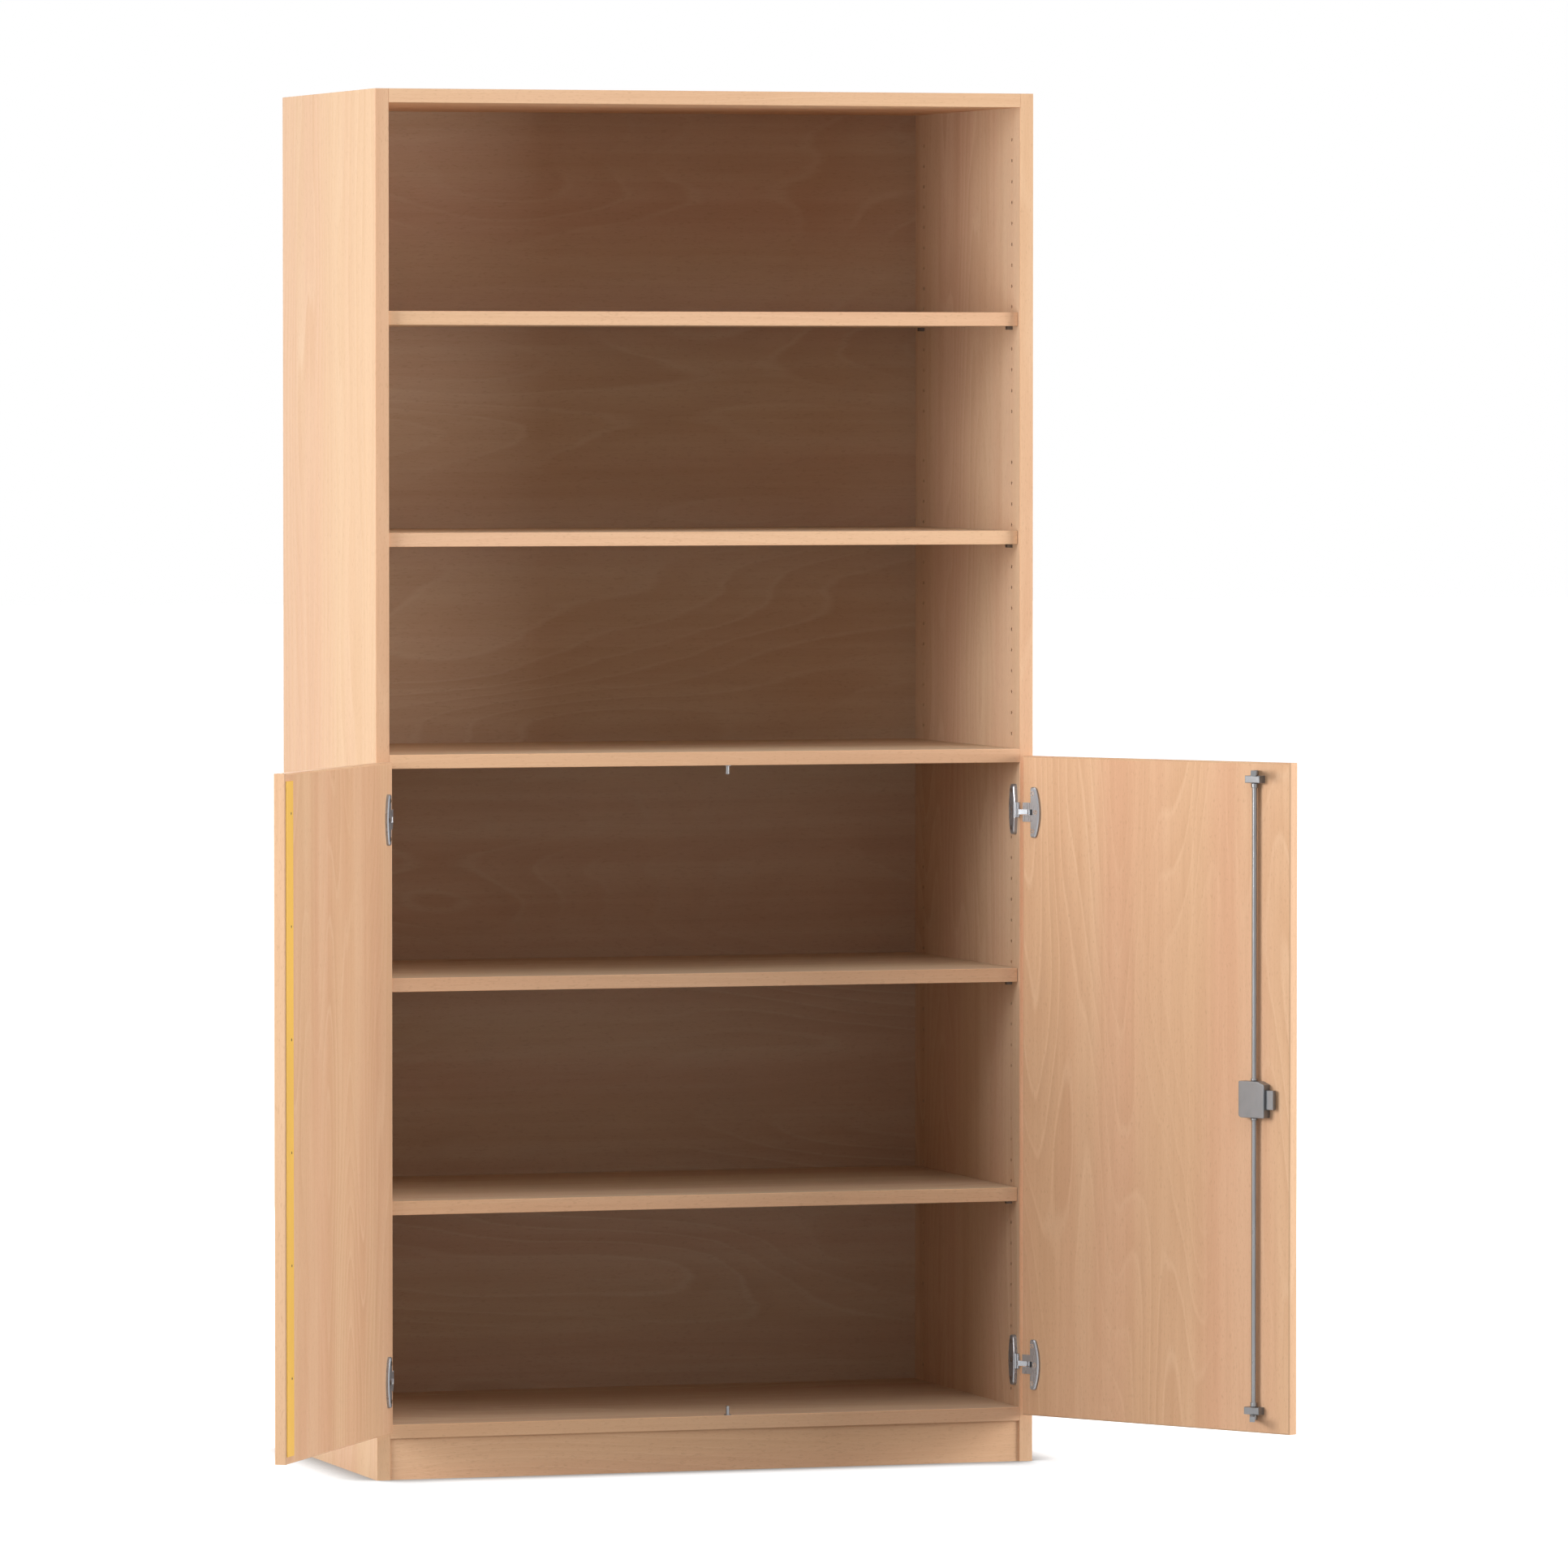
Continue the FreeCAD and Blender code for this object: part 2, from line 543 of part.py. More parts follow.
# ---------------------------------------------------------------- hinges
def hinge_base(side, z):
    """Plate on the side panel with its two knuckles, the cranked arm and the eye for the pin."""
    middle = z + BASE_RAISE
    half = PLATE_LENGTH / 2
    front = -BASE_FRONT
    rear = -(BASE_FRONT + BASE_WIDTH)

    def p(v, dz):
        return in_side(side, 0, v, middle + dz)

    front_end = front - BASE_FRONT_TAPER
    rear_end = rear + BASE_REAR_TAPER
    inwards = Vector(-side * BASE_THICKNESS, 0, 0)
    plate = prism([p(front, -BASE_WAIST), p(front, BASE_WAIST), p(front_end, half), p(rear_end, half),
                   (p(rear, 0), p(rear_end, -half)), p(front_end, -half)], inwards)
    ends = [e for e in long_edges(plate, "x", BASE_THICKNESS) if abs(e.CenterOfMass.z - middle) > half - 1e-6]
    plate = plate.makeFillet(BASE_CORNER, ends)
    top = in_side(side, -BASE_THICKNESS, front, middle)
    plate = plate.makeChamfer(BASE_BEVEL, rim_edges(plate, top, Vector(1, 0, 0)))

    arm_u = -(ARM_SIDE_GAP + ARM_THICKNESS / 2)
    low = z - ARM_HEIGHT / 2
    arm = side_box(side, arm_u - ARM_THICKNESS / 2, arm_u + ARM_THICKNESS / 2,
                   front - BASE_BEVEL - ARM_THICKNESS, ARM_BEND, low, low + ARM_HEIGHT)
    run_u = PIVOT_U - arm_u
    run_v = PIVOT_V - ARM_BEND
    run = math.hypot(run_u, run_v)
    across_u = -run_v / run * ARM_THICKNESS / 2
    across_v = run_u / run * ARM_THICKNESS / 2
    crank = prism([in_side(side, arm_u + across_u, ARM_BEND + across_v, low),
                   in_side(side, arm_u - across_u, ARM_BEND - across_v, low),
                   in_side(side, PIVOT_U - across_u, PIVOT_V - across_v, low),
                   in_side(side, PIVOT_U + across_u, PIVOT_V + across_v, low)],
                  Vector(0, 0, ARM_HEIGHT))
    bend = upright(in_side(side, arm_u, ARM_BEND, low), ARM_THICKNESS / 2, ARM_HEIGHT)
    bore = HINGE_PIN_DIAMETER / 2 + PIN_RUNNING
    eye = upright(in_side(side, PIVOT_U, PIVOT_V, low), bore + EYE_WALL, ARM_HEIGHT)
    knuckle_low = z + BLOCK_HEIGHT / 2 - KNUCKLE_END_PLAY - KNUCKLE_LENGTH
    rear_knuckle = upright(in_side(side, -REAR_KNUCKLE_LIFT, -REAR_KNUCKLE_SETBACK, knuckle_low),
                           REAR_KNUCKLE_RADIUS, KNUCKLE_LENGTH)
    front_knuckle = upright(in_side(side, arm_u, -FRONT_KNUCKLE_SETBACK, knuckle_low),
                            FRONT_KNUCKLE_RADIUS, KNUCKLE_LENGTH)
    web = side_box(side, arm_u - ARM_THICKNESS / 2, arm_u + ARM_THICKNESS / 2, front, -FRONT_KNUCKLE_SETBACK,
                   knuckle_low, knuckle_low + KNUCKLE_LENGTH)
    body = plate.fuse([arm, crank, bend, eye, rear_knuckle, front_knuckle, web])
    tools = [upright(in_side(side, PIVOT_U, PIVOT_V, low), bore, ARM_HEIGHT)]
    tools += [place_screw(point, Vector(-side, 0, 0), recess=False)
              for point in hinge_base_screws(side, z)]
    return cut_all(body, tools).removeSplitter()


def leaf_block(side, z, grow=0.0):
    """Outer form of the bearing block, which is let into the hinge edge of the closed door."""
    return door_box(side, 0, BLOCK_LENGTH, -BLOCK_DEPTH, BLOCK_PROUD + grow,
                    z - BLOCK_HEIGHT / 2, z + BLOCK_HEIGHT / 2)


def hinge_leaf(side, z):
    """Half-moon plate on the closed door, in one piece with the slotted bearing block."""
    half = PLATE_LENGTH / 2
    near = LEAF_START
    far = LEAF_START + LEAF_WIDTH

    def p(s, dz):
        return in_door(side, s, 0, z + dz)

    end = near + LEAF_TIP
    plate = prism([p(near, -half), p(near, half), p(end, half), (p(far, 0), p(end, -half))],
                  INWARD * LEAF_THICKNESS)
    for s, radius in ((near, LEAF_CORNER), (end, LEAF_TIP_CORNER)):
        corners = [e for e in long_edges(plate, "y", LEAF_THICKNESS)
                   if abs(e.CenterOfMass.x - p(s, 0).x) < 1e-6]
        plate = plate.makeFillet(radius, corners)
    plate = plate.makeChamfer(LEAF_BEVEL, rim_edges(plate, in_door(side, near, LEAF_THICKNESS, z), INWARD))
    notch = door_box(side, near - 1, BLOCK_LENGTH, 0, LEAF_THICKNESS,
                     z - BLOCK_HEIGHT / 2, z + BLOCK_HEIGHT / 2)
    body = plate.cut(notch).fuse(leaf_block(side, z))
    slot_half = ARM_HEIGHT / 2 + SLOT_PLAY
    slot = door_box(side, -1, BLOCK_LENGTH - BLOCK_WALL, -BLOCK_DEPTH + BLOCK_WALL, BLOCK_PROUD + 1,
                    z - slot_half, z + slot_half)
    tools = [slot, upright(in_side(side, PIVOT_U, PIVOT_V, z - BLOCK_HEIGHT / 2),
                           HINGE_PIN_DIAMETER / 2, BLOCK_HEIGHT)]
    tools += [place_screw(point, INWARD, recess=False) for point in hinge_leaf_screws(side, z)]
    return cut_all(body, tools).removeSplitter()


def build_hinges():
    base_screws = []
    for side_name, side in SIDES.items():
        pins = []
        leaf_screws = []
        for level, z in HINGE_Z.items():
            keep("hinge_base_" + level + "_" + side_name, hinge_base(side, z))
            keep("hinge_leaf_" + level + "_" + side_name, swing(hinge_leaf(side, z), side))
            pins.append(upright(in_side(side, PIVOT_U, PIVOT_V, z - BLOCK_HEIGHT / 2),
                                HINGE_PIN_DIAMETER / 2, BLOCK_HEIGHT))
            base_screws += [place_screw(point, Vector(-side, 0, 0))
                            for point in hinge_base_screws(side, z)]
            leaf_screws += [swing(place_screw(point, INWARD), side)
                            for point in hinge_leaf_screws(side, z)]
        keep("hinge_pins_" + side_name, *pins)
        keep("hinge_leaf_screws_" + side_name, *leaf_screws)
    keep("hinge_base_screws", *base_screws)


# ---------------------------------------------------------------- doors
def door_bands(side):
    """Four bands round a closed door, the upright ones over the full height."""
    bands = []
    for s0, s1 in ((0, BAND), (DOOR_WIDTH - BAND, DOOR_WIDTH)):
        band = door_box(side, s0, s1, -DOOR_THICKNESS, 0, DOOR_BOTTOM, DOOR_TOP)
        outer_s = 0 if s0 == 0 else DOOR_WIDTH
        outer_x = in_door(side, outer_s, 0, 0).x
        rounded = [e for e in long_edges(band, "z", DOOR_TOP - DOOR_BOTTOM)
                   if abs(e.CenterOfMass.x - outer_x) < 1e-6]
        bands.append(band.makeFillet(DOOR_BAND_ROUND, rounded))
    length = DOOR_WIDTH - 2 * BAND
    for z0, z1, outer_z in ((DOOR_BOTTOM, DOOR_BOTTOM + BAND, DOOR_BOTTOM),
                            (DOOR_TOP - BAND, DOOR_TOP, DOOR_TOP)):
        band = door_box(side, BAND, DOOR_WIDTH - BAND, -DOOR_THICKNESS, 0, z0, z1)
        rounded = [e for e in long_edges(band, "x", length) if abs(e.CenterOfMass.z - outer_z) < 1e-6]
        bands.append(band.makeFillet(DOOR_BAND_ROUND, rounded))
    return bands


def build_doors():
    for name, side in SIDES.items():
        core = door_box(side, BAND, DOOR_WIDTH - BAND, -DOOR_THICKNESS, 0,
                        DOOR_BOTTOM + BAND, DOOR_TOP - BAND)
        mortises = [leaf_block(side, z) for z in HINGE_Z.values()]
        tools = list(mortises)
        for z in HINGE_Z.values():
            tools += [place_screw(point, INWARD, recess=False) for point in hinge_leaf_screws(side, z)]
        if name == "left":
            tools += [place_screw(point, INWARD, STRIP_SCREW_SCALE, False) for point in strip_screws()]
        else:
            tools += lock_door_holes()
        keep("door_panel_" + name, swing(cut_all(core, tools), side))
        bands = [swing(cut_all(band, mortises), side) for band in door_bands(side)]
        keep("edge_bands_door_" + name, *bands)


def build_closing_strip():
    s1 = DOOR_WIDTH - STRIP_FROM_EDGE
    strip = door_box(-1, s1 - STRIP_WIDTH, s1, 0, STRIP_THICKNESS,
                     DOOR_BOTTOM + STRIP_END_PLAY, DOOR_TOP - STRIP_END_PLAY)
    tools = [place_screw(point, INWARD, STRIP_SCREW_SCALE, False) for point in strip_screws()]
    keep("closing_strip", swing(cut_all(strip, tools), -1))
    keep("closing_strip_screws", *[swing(place_screw(point, INWARD, STRIP_SCREW_SCALE), -1)
                                   for point in strip_screws()])


# ---------------------------------------------------------------- rotary rod lock
def rod_point(z, ds=0.0, dh=0.0):
    """Point beside the rod axis of the closed right door."""
    return in_door(1, ROD_S + ds, ROD_AXIS_HEIGHT + dh, z)


def striker_pins():
    """Striker pins under the middle panel and on the bottom panel, with the panel that holds each."""
    x = STRIKER_OFFSET
    y = FRONT + STRIKER_SETBACK
    length = STRIKER_ROOT + STRIKER_REACH
    radius = STRIKER_DIAMETER / 2
    return [("middle_panel", upright(Vector(x, y, MIDDLE_UNDER - STRIKER_REACH), radius, length)),
            ("bottom_panel", upright(Vector(x, y, BOTTOM_TOP - STRIKER_ROOT), radius, length))]


def build_strikers():
    x = STRIKER_OFFSET
    y = FRONT + STRIKER_SETBACK
    flanges = (upright(Vector(x, y, MIDDLE_UNDER - STRIKER_FLANGE), STRIKER_FLANGE_RADIUS, STRIKER_FLANGE),
               upright(Vector(x, y, BOTTOM_TOP), STRIKER_FLANGE_RADIUS, STRIKER_FLANGE))
    for name, (_, pin), flange in zip(("upper", "lower"), striker_pins(), flanges):
        rounded = pin.makeFillet(STRIKER_ROUND, [pin.Edges[0] if name == "lower" else pin.Edges[-1]])
        keep("striker_pin_" + name, rounded.fuse(flange).removeSplitter())


def lock_box(s0, s1, h0, h1, dz0, dz1):
    """Box round the spindle axis of the closed right door."""
    return door_box(1, ROD_S + s0, ROD_S + s1, h0, h1, LOCK_Z + dz0, LOCK_Z + dz1)


def case_screw_points():
    s = CASE_WIDTH / 2 - CASE_SCREW_MARGIN
    z = CASE_HEIGHT / 2 - CASE_SCREW_INSET
    return [in_door(1, ROD_S + ds, PLATE_THICKNESS, LOCK_Z + dz)
            for ds, dz in ((-s, z), (-s, -z), (s, z), (s, -z))]


def guide_pegs():
    """Pegs on the back of the two rod guides, in the closed right door."""
    offset = GUIDE_WIDTH / 2 - GUIDE_PEG_MARGIN
    return [along(in_door(1, ROD_S + ds, 0, z), OUTWARD, GUIDE_PEG_RADIUS, GUIDE_PEG_LENGTH)
            for z in (UPPER_GUIDE_TOP - GUIDE_LENGTH / 2, LOWER_GUIDE_BOTTOM + GUIDE_LENGTH / 2)
            for ds in (-offset, offset)]


def lock_door_holes():
    """What the lock needs cut out of the right door."""
    sleeve = along(in_door(1, ROD_S, 0, LOCK_Z), OUTWARD, SPINDLE_DIAMETER / 2 + PIN_RUNNING + BUSH_WALL,
                   DOOR_THICKNESS)
    tools = [sleeve]
    tools += [place_screw(point, INWARD, CASE_SCREW_SCALE, False) for point in case_screw_points()]
    return tools + guide_pegs()


def case_form(inset, low, high):
    """Body with the outline of the lock case, made smaller by a wall on every side."""
    s = CASE_WIDTH / 2 - inset
    z = CASE_HEIGHT / 2 - inset
    slope = math.hypot(CASE_SLOPE_RUN, CASE_SLOPE_DROP)
    run = CASE_SLOPE_RUN - inset * (slope - CASE_SLOPE_RUN) / CASE_SLOPE_DROP
    drop = CASE_SLOPE_DROP - inset * (slope - CASE_SLOPE_DROP) / CASE_SLOPE_RUN

    def p(ds, dz):
        return in_door(1, ROD_S + ds, low, LOCK_Z + dz)

    form = prism([p(-s, -z), p(s, -z), p(s, z - drop), p(s - run, z), p(-s, z)], INWARD * (high - low))
    corners = {(-s, -z): CASE_ROUND, (-s, z): CASE_SMALL_ROUND, (s, -z): CASE_SMALL_ROUND}
    for (ds, dz), radius in corners.items():
        corner = p(ds, dz)
        edges = [e for e in long_edges(form, "y", high - low)
                 if abs(e.CenterOfMass.x - corner.x) < 1e-6 and abs(e.CenterOfMass.z - corner.z) < 1e-6]
        form = form.makeFillet(max(radius - inset, 0.3), edges)
    return form


def build_lock_case():
    outer = case_form(0, 0, CASE_THICKNESS)
    face = in_door(1, ROD_S, CASE_THICKNESS, LOCK_Z)
    outer = outer.makeFillet(CASE_EDGE_ROUND, rim_edges(outer, face, INWARD))
    hollow = case_form(CASE_WALL, -1, CASE_THICKNESS - CASE_WALL)
    rod_hole = upright(rod_point(LOCK_Z - CASE_HEIGHT), ROD_DIAMETER / 2 + CASE_PLAY, 2 * CASE_HEIGHT)
    window = lock_box(0, CASE_WIDTH, TONGUE_LOW - CASE_PLAY, TONGUE_HIGH + CASE_PLAY,
                      -TONGUE_HEIGHT / 2 - CASE_PLAY, TONGUE_HEIGHT / 2 + CASE_PLAY)
    keep("lock_case", swing(outer.cut(hollow).cut(rod_hole).cut(window), 1))

    plate = case_form(CASE_WALL, 0, PLATE_THICKNESS)
    tools = [along(in_door(1, ROD_S, 0, LOCK_Z), INWARD, SPINDLE_DIAMETER / 2 + CASE_PLAY, PLATE_THICKNESS)]
    tools += [place_screw(point, INWARD, CASE_SCREW_SCALE, False) for point in case_screw_points()]
    keep("lock_base_plate", swing(cut_all(plate, tools), 1))


def tongue_travel():
    """The tongue pin stays level, so the lever drives it from one end of its swing to the other."""
    return 2 * LEVER_PIN_HEIGHT * math.tan(math.radians(KNOB_TRAVEL / 2))


def build_tongue():
    """Tongue drawn back: a thick head, and a flat tail with an ear that carries the lever's pin."""
    inner = DRIVER_RADIUS + TONGUE_ROD_GAP
    head = lock_box(inner, CASE_WIDTH / 2 + TONGUE_PROUD, TONGUE_LOW, TONGUE_HIGH,
                    -TONGUE_HEIGHT / 2, TONGUE_HEIGHT / 2)
    nose = [e for e in long_edges(head, "z", TONGUE_HEIGHT)
            if abs(e.CenterOfMass.x - in_door(1, CASE_RIGHT + TONGUE_PROUD, 0, 0).x) < 1e-6]
    head = head.makeFillet(TONGUE_ROUND, nose)
    pin_s = -tongue_travel() / 2
    rear = pin_s - TAIL_EAR / 2
    tail = lock_box(rear, inner, TONGUE_LOW, TONGUE_LOW + TAIL_THICKNESS, TAIL_BOTTOM, TAIL_TOP)
    ear = lock_box(rear, pin_s + TAIL_EAR / 2, TONGUE_LOW, TONGUE_LOW + TAIL_THICKNESS,
                   TAIL_TOP, LEVER_PIN_HEIGHT + TAIL_EAR / 2)
    low = PLATE_THICKNESS + LEVER_LIFT
    pin = along(in_door(1, ROD_S + pin_s, low, LOCK_Z + LEVER_PIN_HEIGHT), INWARD,
                LEVER_PIN_DIAMETER / 2, TONGUE_LOW - low)
    keep("lock_tongue", swing(head.fuse([tail, ear, pin]).removeSplitter(), 1))


def build_spindle():
    """Spindle through the door, with the forked lever and the rod's crank pin in the lock case."""
    low = PLATE_THICKNESS + LEVER_LIFT
    high = low + LEVER_THICKNESS
    axis_point = in_door(1, ROD_S, 0, LOCK_Z)
    start = -DOOR_THICKNESS - ROSETTE_THICKNESS - KNOB_GAP - KNOB_LENGTH / 2
    shaft = along(axis_point + INWARD * start, INWARD, SPINDLE_DIAMETER / 2, high - start)
    hub = along(axis_point + INWARD * low, INWARD, LEVER_HUB_RADIUS, LEVER_THICKNESS)
    slot_half = LEVER_PIN_DIAMETER / 2 + LEVER_SLOT_PLAY
    arm_half = slot_half + LEVER_PRONG
    lever_radius = CASE_HEIGHT / 2 - CASE_WALL - LEVER_CASE_GAP
    arm_end = math.sqrt(lever_radius ** 2 - arm_half ** 2)
    arm = lock_box(-arm_half, arm_half, low, high, 0, arm_end)
    slot = lock_box(-slot_half, slot_half, low - 1, high + 1,
                    LEVER_PIN_HEIGHT - LEVER_PIN_DIAMETER / 2 - 0.5, lever_radius + 1)
    rod_pin = along(in_door(1, ROD_S, high, LOCK_Z - ROD_CRANK_RADIUS), INWARD, ROD_CRANK_PIN_DIAMETER / 2,
                    ROD_AXIS_HEIGHT - ROD_DIAMETER / 2 - 0.3 - high)
    body = shaft.fuse([hub, arm, rod_pin]).cut(slot).removeSplitter()
    body.rotate(axis_point, INWARD, KNOB_TRAVEL / 2)
    keep("lock_spindle", swing(body, 1))

    bush_inner = SPINDLE_DIAMETER / 2 + PIN_RUNNING
    bush = along(axis_point, OUTWARD, bush_inner + BUSH_WALL, DOOR_THICKNESS)
    bush = bush.cut(along(axis_point, OUTWARD, bush_inner, DOOR_THICKNESS))
    keep("spindle_bush", swing(bush, 1))


def turned(shape, degrees):
    """Turn a piece of the closed right door about the rod axis."""
    piece = shape.copy()
    piece.rotate(rod_point(0), Vector(0, 0, 1), degrees)
    return piece


def hook_lock_angle():
    """Angle from the closed door's face to the locked hook arm, which lies behind the striker pin."""
    ds = in_door(1, ROD_S, 0, 0).x - STRIKER_OFFSET
    dh = DOOR_CLEARANCE + STRIKER_SETBACK - ROD_AXIS_HEIGHT
    distance = math.hypot(ds, dh)
    offset = STRIKER_DIAMETER / 2 + HOOK_PLAY + HOOK_ARM_THICKNESS / 2
    return math.degrees(math.atan2(dh, ds) + math.asin(offset / distance)), distance


def rod_hook(z, outer_z):
    """Hook on a rod end in its locked place: hub, straight arm and a claw past the striker pin."""
    angle, distance = hook_lock_angle()
    claw_start = distance + STRIKER_DIAMETER / 2 + HOOK_PLAY
    half = HOOK_ARM_THICKNESS / 2
    axis = rod_point(z)
    hub = upright(axis, HOOK_HUB_RADIUS, HOOK_LENGTH)
    hub = hub.makeFillet(HOOK_HUB_ROUND, rim_edges(hub, Vector(0, 0, outer_z), Vector(0, 0, 1)))
    arm = box(axis.x, axis.x - claw_start - HOOK_CLAW, axis.y - half, axis.y + half, z, z + HOOK_LENGTH)
    claw = box(axis.x - claw_start, axis.x - claw_start - HOOK_CLAW, axis.y - half - HOOK_CLAW_DROP,
               axis.y, z, z + HOOK_LENGTH)
    hook = hub.fuse([arm, claw]).cut(upright(axis, ROD_DIAMETER / 2, HOOK_LENGTH)).removeSplitter()
    return turned(hook, -angle)


def build_rods():
    low = LOWER_HOOK_TOP - HOOK_LENGTH
    rod = upright(rod_point(low), ROD_DIAMETER / 2, HOOK_TOP - low)
    keep("lock_rod", swing(rod, 1))
    ends = ((HOOK_TOP - HOOK_LENGTH, HOOK_TOP), (low, low))
    hooks = [turned(rod_hook(z, outer_z), -ROD_TRAVEL) for z, outer_z in ends]
    keep("rod_hooks", *[swing(hook, 1) for hook in hooks])

    driver_low = LOCK_Z + DRIVER_TOP - DRIVER_LENGTH
    driver = upright(rod_point(driver_low), DRIVER_RADIUS, DRIVER_LENGTH)
    driver = driver.cut(upright(rod_point(driver_low), ROD_DIAMETER / 2, DRIVER_LENGTH))
    groove = door_box(1, ROD_S - DRIVER_GROOVE / 2, ROD_S + DRIVER_GROOVE / 2,
                      ROD_AXIS_HEIGHT - DRIVER_RADIUS - 1, ROD_AXIS_HEIGHT,
                      driver_low, driver_low + DRIVER_LENGTH)
    keep("rod_driver", swing(turned(driver.cut(groove), -ROD_TRAVEL / 2), 1))

    case_half = CASE_HEIGHT / 2
    collar_places = ((UPPER_GUIDE_TOP - GUIDE_LENGTH - COLLAR_LENGTH - COLLAR_GAP, COLLAR_LENGTH),
                     (LOWER_GUIDE_BOTTOM + GUIDE_LENGTH + COLLAR_GAP, COLLAR_LENGTH),
                     (LOCK_Z + case_half + COLLAR_GAP, LOCK_COLLAR_LENGTH),
                     (LOCK_Z - case_half - COLLAR_GAP - LOCK_COLLAR_LENGTH, LOCK_COLLAR_LENGTH))
    collars = []
    for z, length in collar_places:
        ring = upright(rod_point(z), COLLAR_RADIUS, length)
        ring = ring.makeFillet(COLLAR_ROUND, [e for e in ring.Edges if len(e.Vertexes) == 1])
        collars.append(swing(ring.cut(upright(rod_point(z), ROD_DIAMETER / 2, length)), 1))
    keep("rod_collars", *collars)

    guides = []
    pegs = guide_pegs()
    for z, own_pegs in ((UPPER_GUIDE_TOP - GUIDE_LENGTH, pegs[:2]), (LOWER_GUIDE_BOTTOM, pegs[2:])):
        guide = door_box(1, ROD_S - GUIDE_WIDTH / 2, ROD_S + GUIDE_WIDTH / 2, 0, GUIDE_THICKNESS,
                         z, z + GUIDE_LENGTH)
        face = in_door(1, ROD_S, GUIDE_THICKNESS, z)
        guide = guide.makeFillet(GUIDE_ROUND, rim_edges(guide, face, INWARD))
        bore = upright(rod_point(z), ROD_DIAMETER / 2 + PIN_RUNNING, GUIDE_LENGTH)
        guides.append(swing(guide.cut(bore).fuse(own_pegs), 1))
    keep("rod_guides", *guides)
    keep("lock_screws", *[swing(place_screw(point, INWARD, CASE_SCREW_SCALE), 1)
                          for point in case_screw_points()])


def build_knob():
    """Rosette, turn knob and key cylinder on the outer face of the right door."""
    face = in_door(1, ROD_S, -DOOR_THICKNESS, LOCK_Z)
    rosette = along(face, OUTWARD, ROSETTE_RADIUS, ROSETTE_THICKNESS)
    outer_rim = rim_edges(rosette, face + OUTWARD * ROSETTE_THICKNESS, INWARD)
    rosette = rosette.makeFillet(ROSETTE_ROUND, outer_rim)
    rosette = rosette.cut(along(face, OUTWARD, SPINDLE_DIAMETER / 2 + PIN_RUNNING, ROSETTE_THICKNESS))
    keep("knob_rosette", swing(rosette, 1))

    base = face + OUTWARD * (ROSETTE_THICKNESS + KNOB_GAP)
    neck = Vector(KNOB_NECK_RADIUS, 0, 0)
    shoulder = Vector(KNOB_RADIUS, 0, KNOB_SHOULDER)
    rim = Vector(KNOB_RADIUS - KNOB_FACE_INSET, 0, KNOB_LENGTH)
    top = Vector(0, 0, KNOB_LENGTH)
    edges = [Part.makeLine(Vector(), neck),
             Part.Arc(neck, Vector(KNOB_NECK_RADIUS + KNOB_FLARE, 0, KNOB_FLARE_HEIGHT), shoulder).toShape(),
             Part.Arc(shoulder, Vector(KNOB_RADIUS + KNOB_CROWN, 0, KNOB_CROWN_HEIGHT), rim).toShape(),
             Part.makeLine(rim, top),
             Part.makeLine(top, Vector())]
    knob = Part.Face(Part.Wire(edges)).revolve(Vector(), Vector(0, 0, 1), 360)
    knob.Placement = FreeCAD.Placement(base, FreeCAD.Rotation(Vector(0, 0, 1), OUTWARD))
    mouth = base + OUTWARD * KNOB_LENGTH
    shaft_hole = along(base, OUTWARD, SPINDLE_DIAMETER / 2, KNOB_LENGTH / 2)
    plug_floor = CYLINDER_LENGTH - CYLINDER_PROUD
    plug_hole = along(mouth + INWARD * plug_floor, OUTWARD, CYLINDER_RADIUS + PIN_RUNNING, CYLINDER_LENGTH)
    keep("turn_knob", swing(knob.cut(shaft_hole).cut(plug_hole), 1))

    plug_base = mouth + INWARD * (plug_floor - PIN_RUNNING)
    plug = along(plug_base, OUTWARD, CYLINDER_RADIUS, CYLINDER_LENGTH - PIN_RUNNING)
    plug_face = mouth + OUTWARD * CYLINDER_PROUD
    keyhole = box(plug_face.x - KEYHOLE_WIDTH / 2, plug_face.x + KEYHOLE_WIDTH / 2,
                  plug_face.y, plug_face.y + KEYHOLE_DEPTH,
                  plug_face.z - KEYHOLE_HEIGHT / 2, plug_face.z + KEYHOLE_HEIGHT / 2)
    keep("key_cylinder", swing(plug.cut(keyhole), 1))


# ---------------------------------------------------------------- build and write
build_sides()
build_panels()
build_dowels()
build_shelves()
build_hinges()
build_doors()
build_closing_strip()
build_strikers()
build_lock_case()
build_tongue()
build_spindle()
build_rods()
build_knob()

os.makedirs("parts", exist_ok=True)
for node_name, node_shape in nodes.items():
    node_shape.exportStep("parts/" + node_name + ".step")
print(len(nodes), "nodes,", sum(len(shape.Solids) for shape in nodes.values()), "solids")
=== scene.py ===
import math

import bpy
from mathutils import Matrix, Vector

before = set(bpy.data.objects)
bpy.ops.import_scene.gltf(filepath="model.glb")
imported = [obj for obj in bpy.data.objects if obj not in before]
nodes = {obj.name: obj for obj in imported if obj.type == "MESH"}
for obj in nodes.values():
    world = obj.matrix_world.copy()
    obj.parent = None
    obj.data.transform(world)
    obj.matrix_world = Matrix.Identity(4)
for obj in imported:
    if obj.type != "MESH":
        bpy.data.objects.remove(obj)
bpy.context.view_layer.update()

scene = bpy.context.scene
WHITE = (1, 1, 1, 1)
MIX_A, MIX_B, MIX_RESULT = 6, 7, 2      # the colour sockets of a Mix node


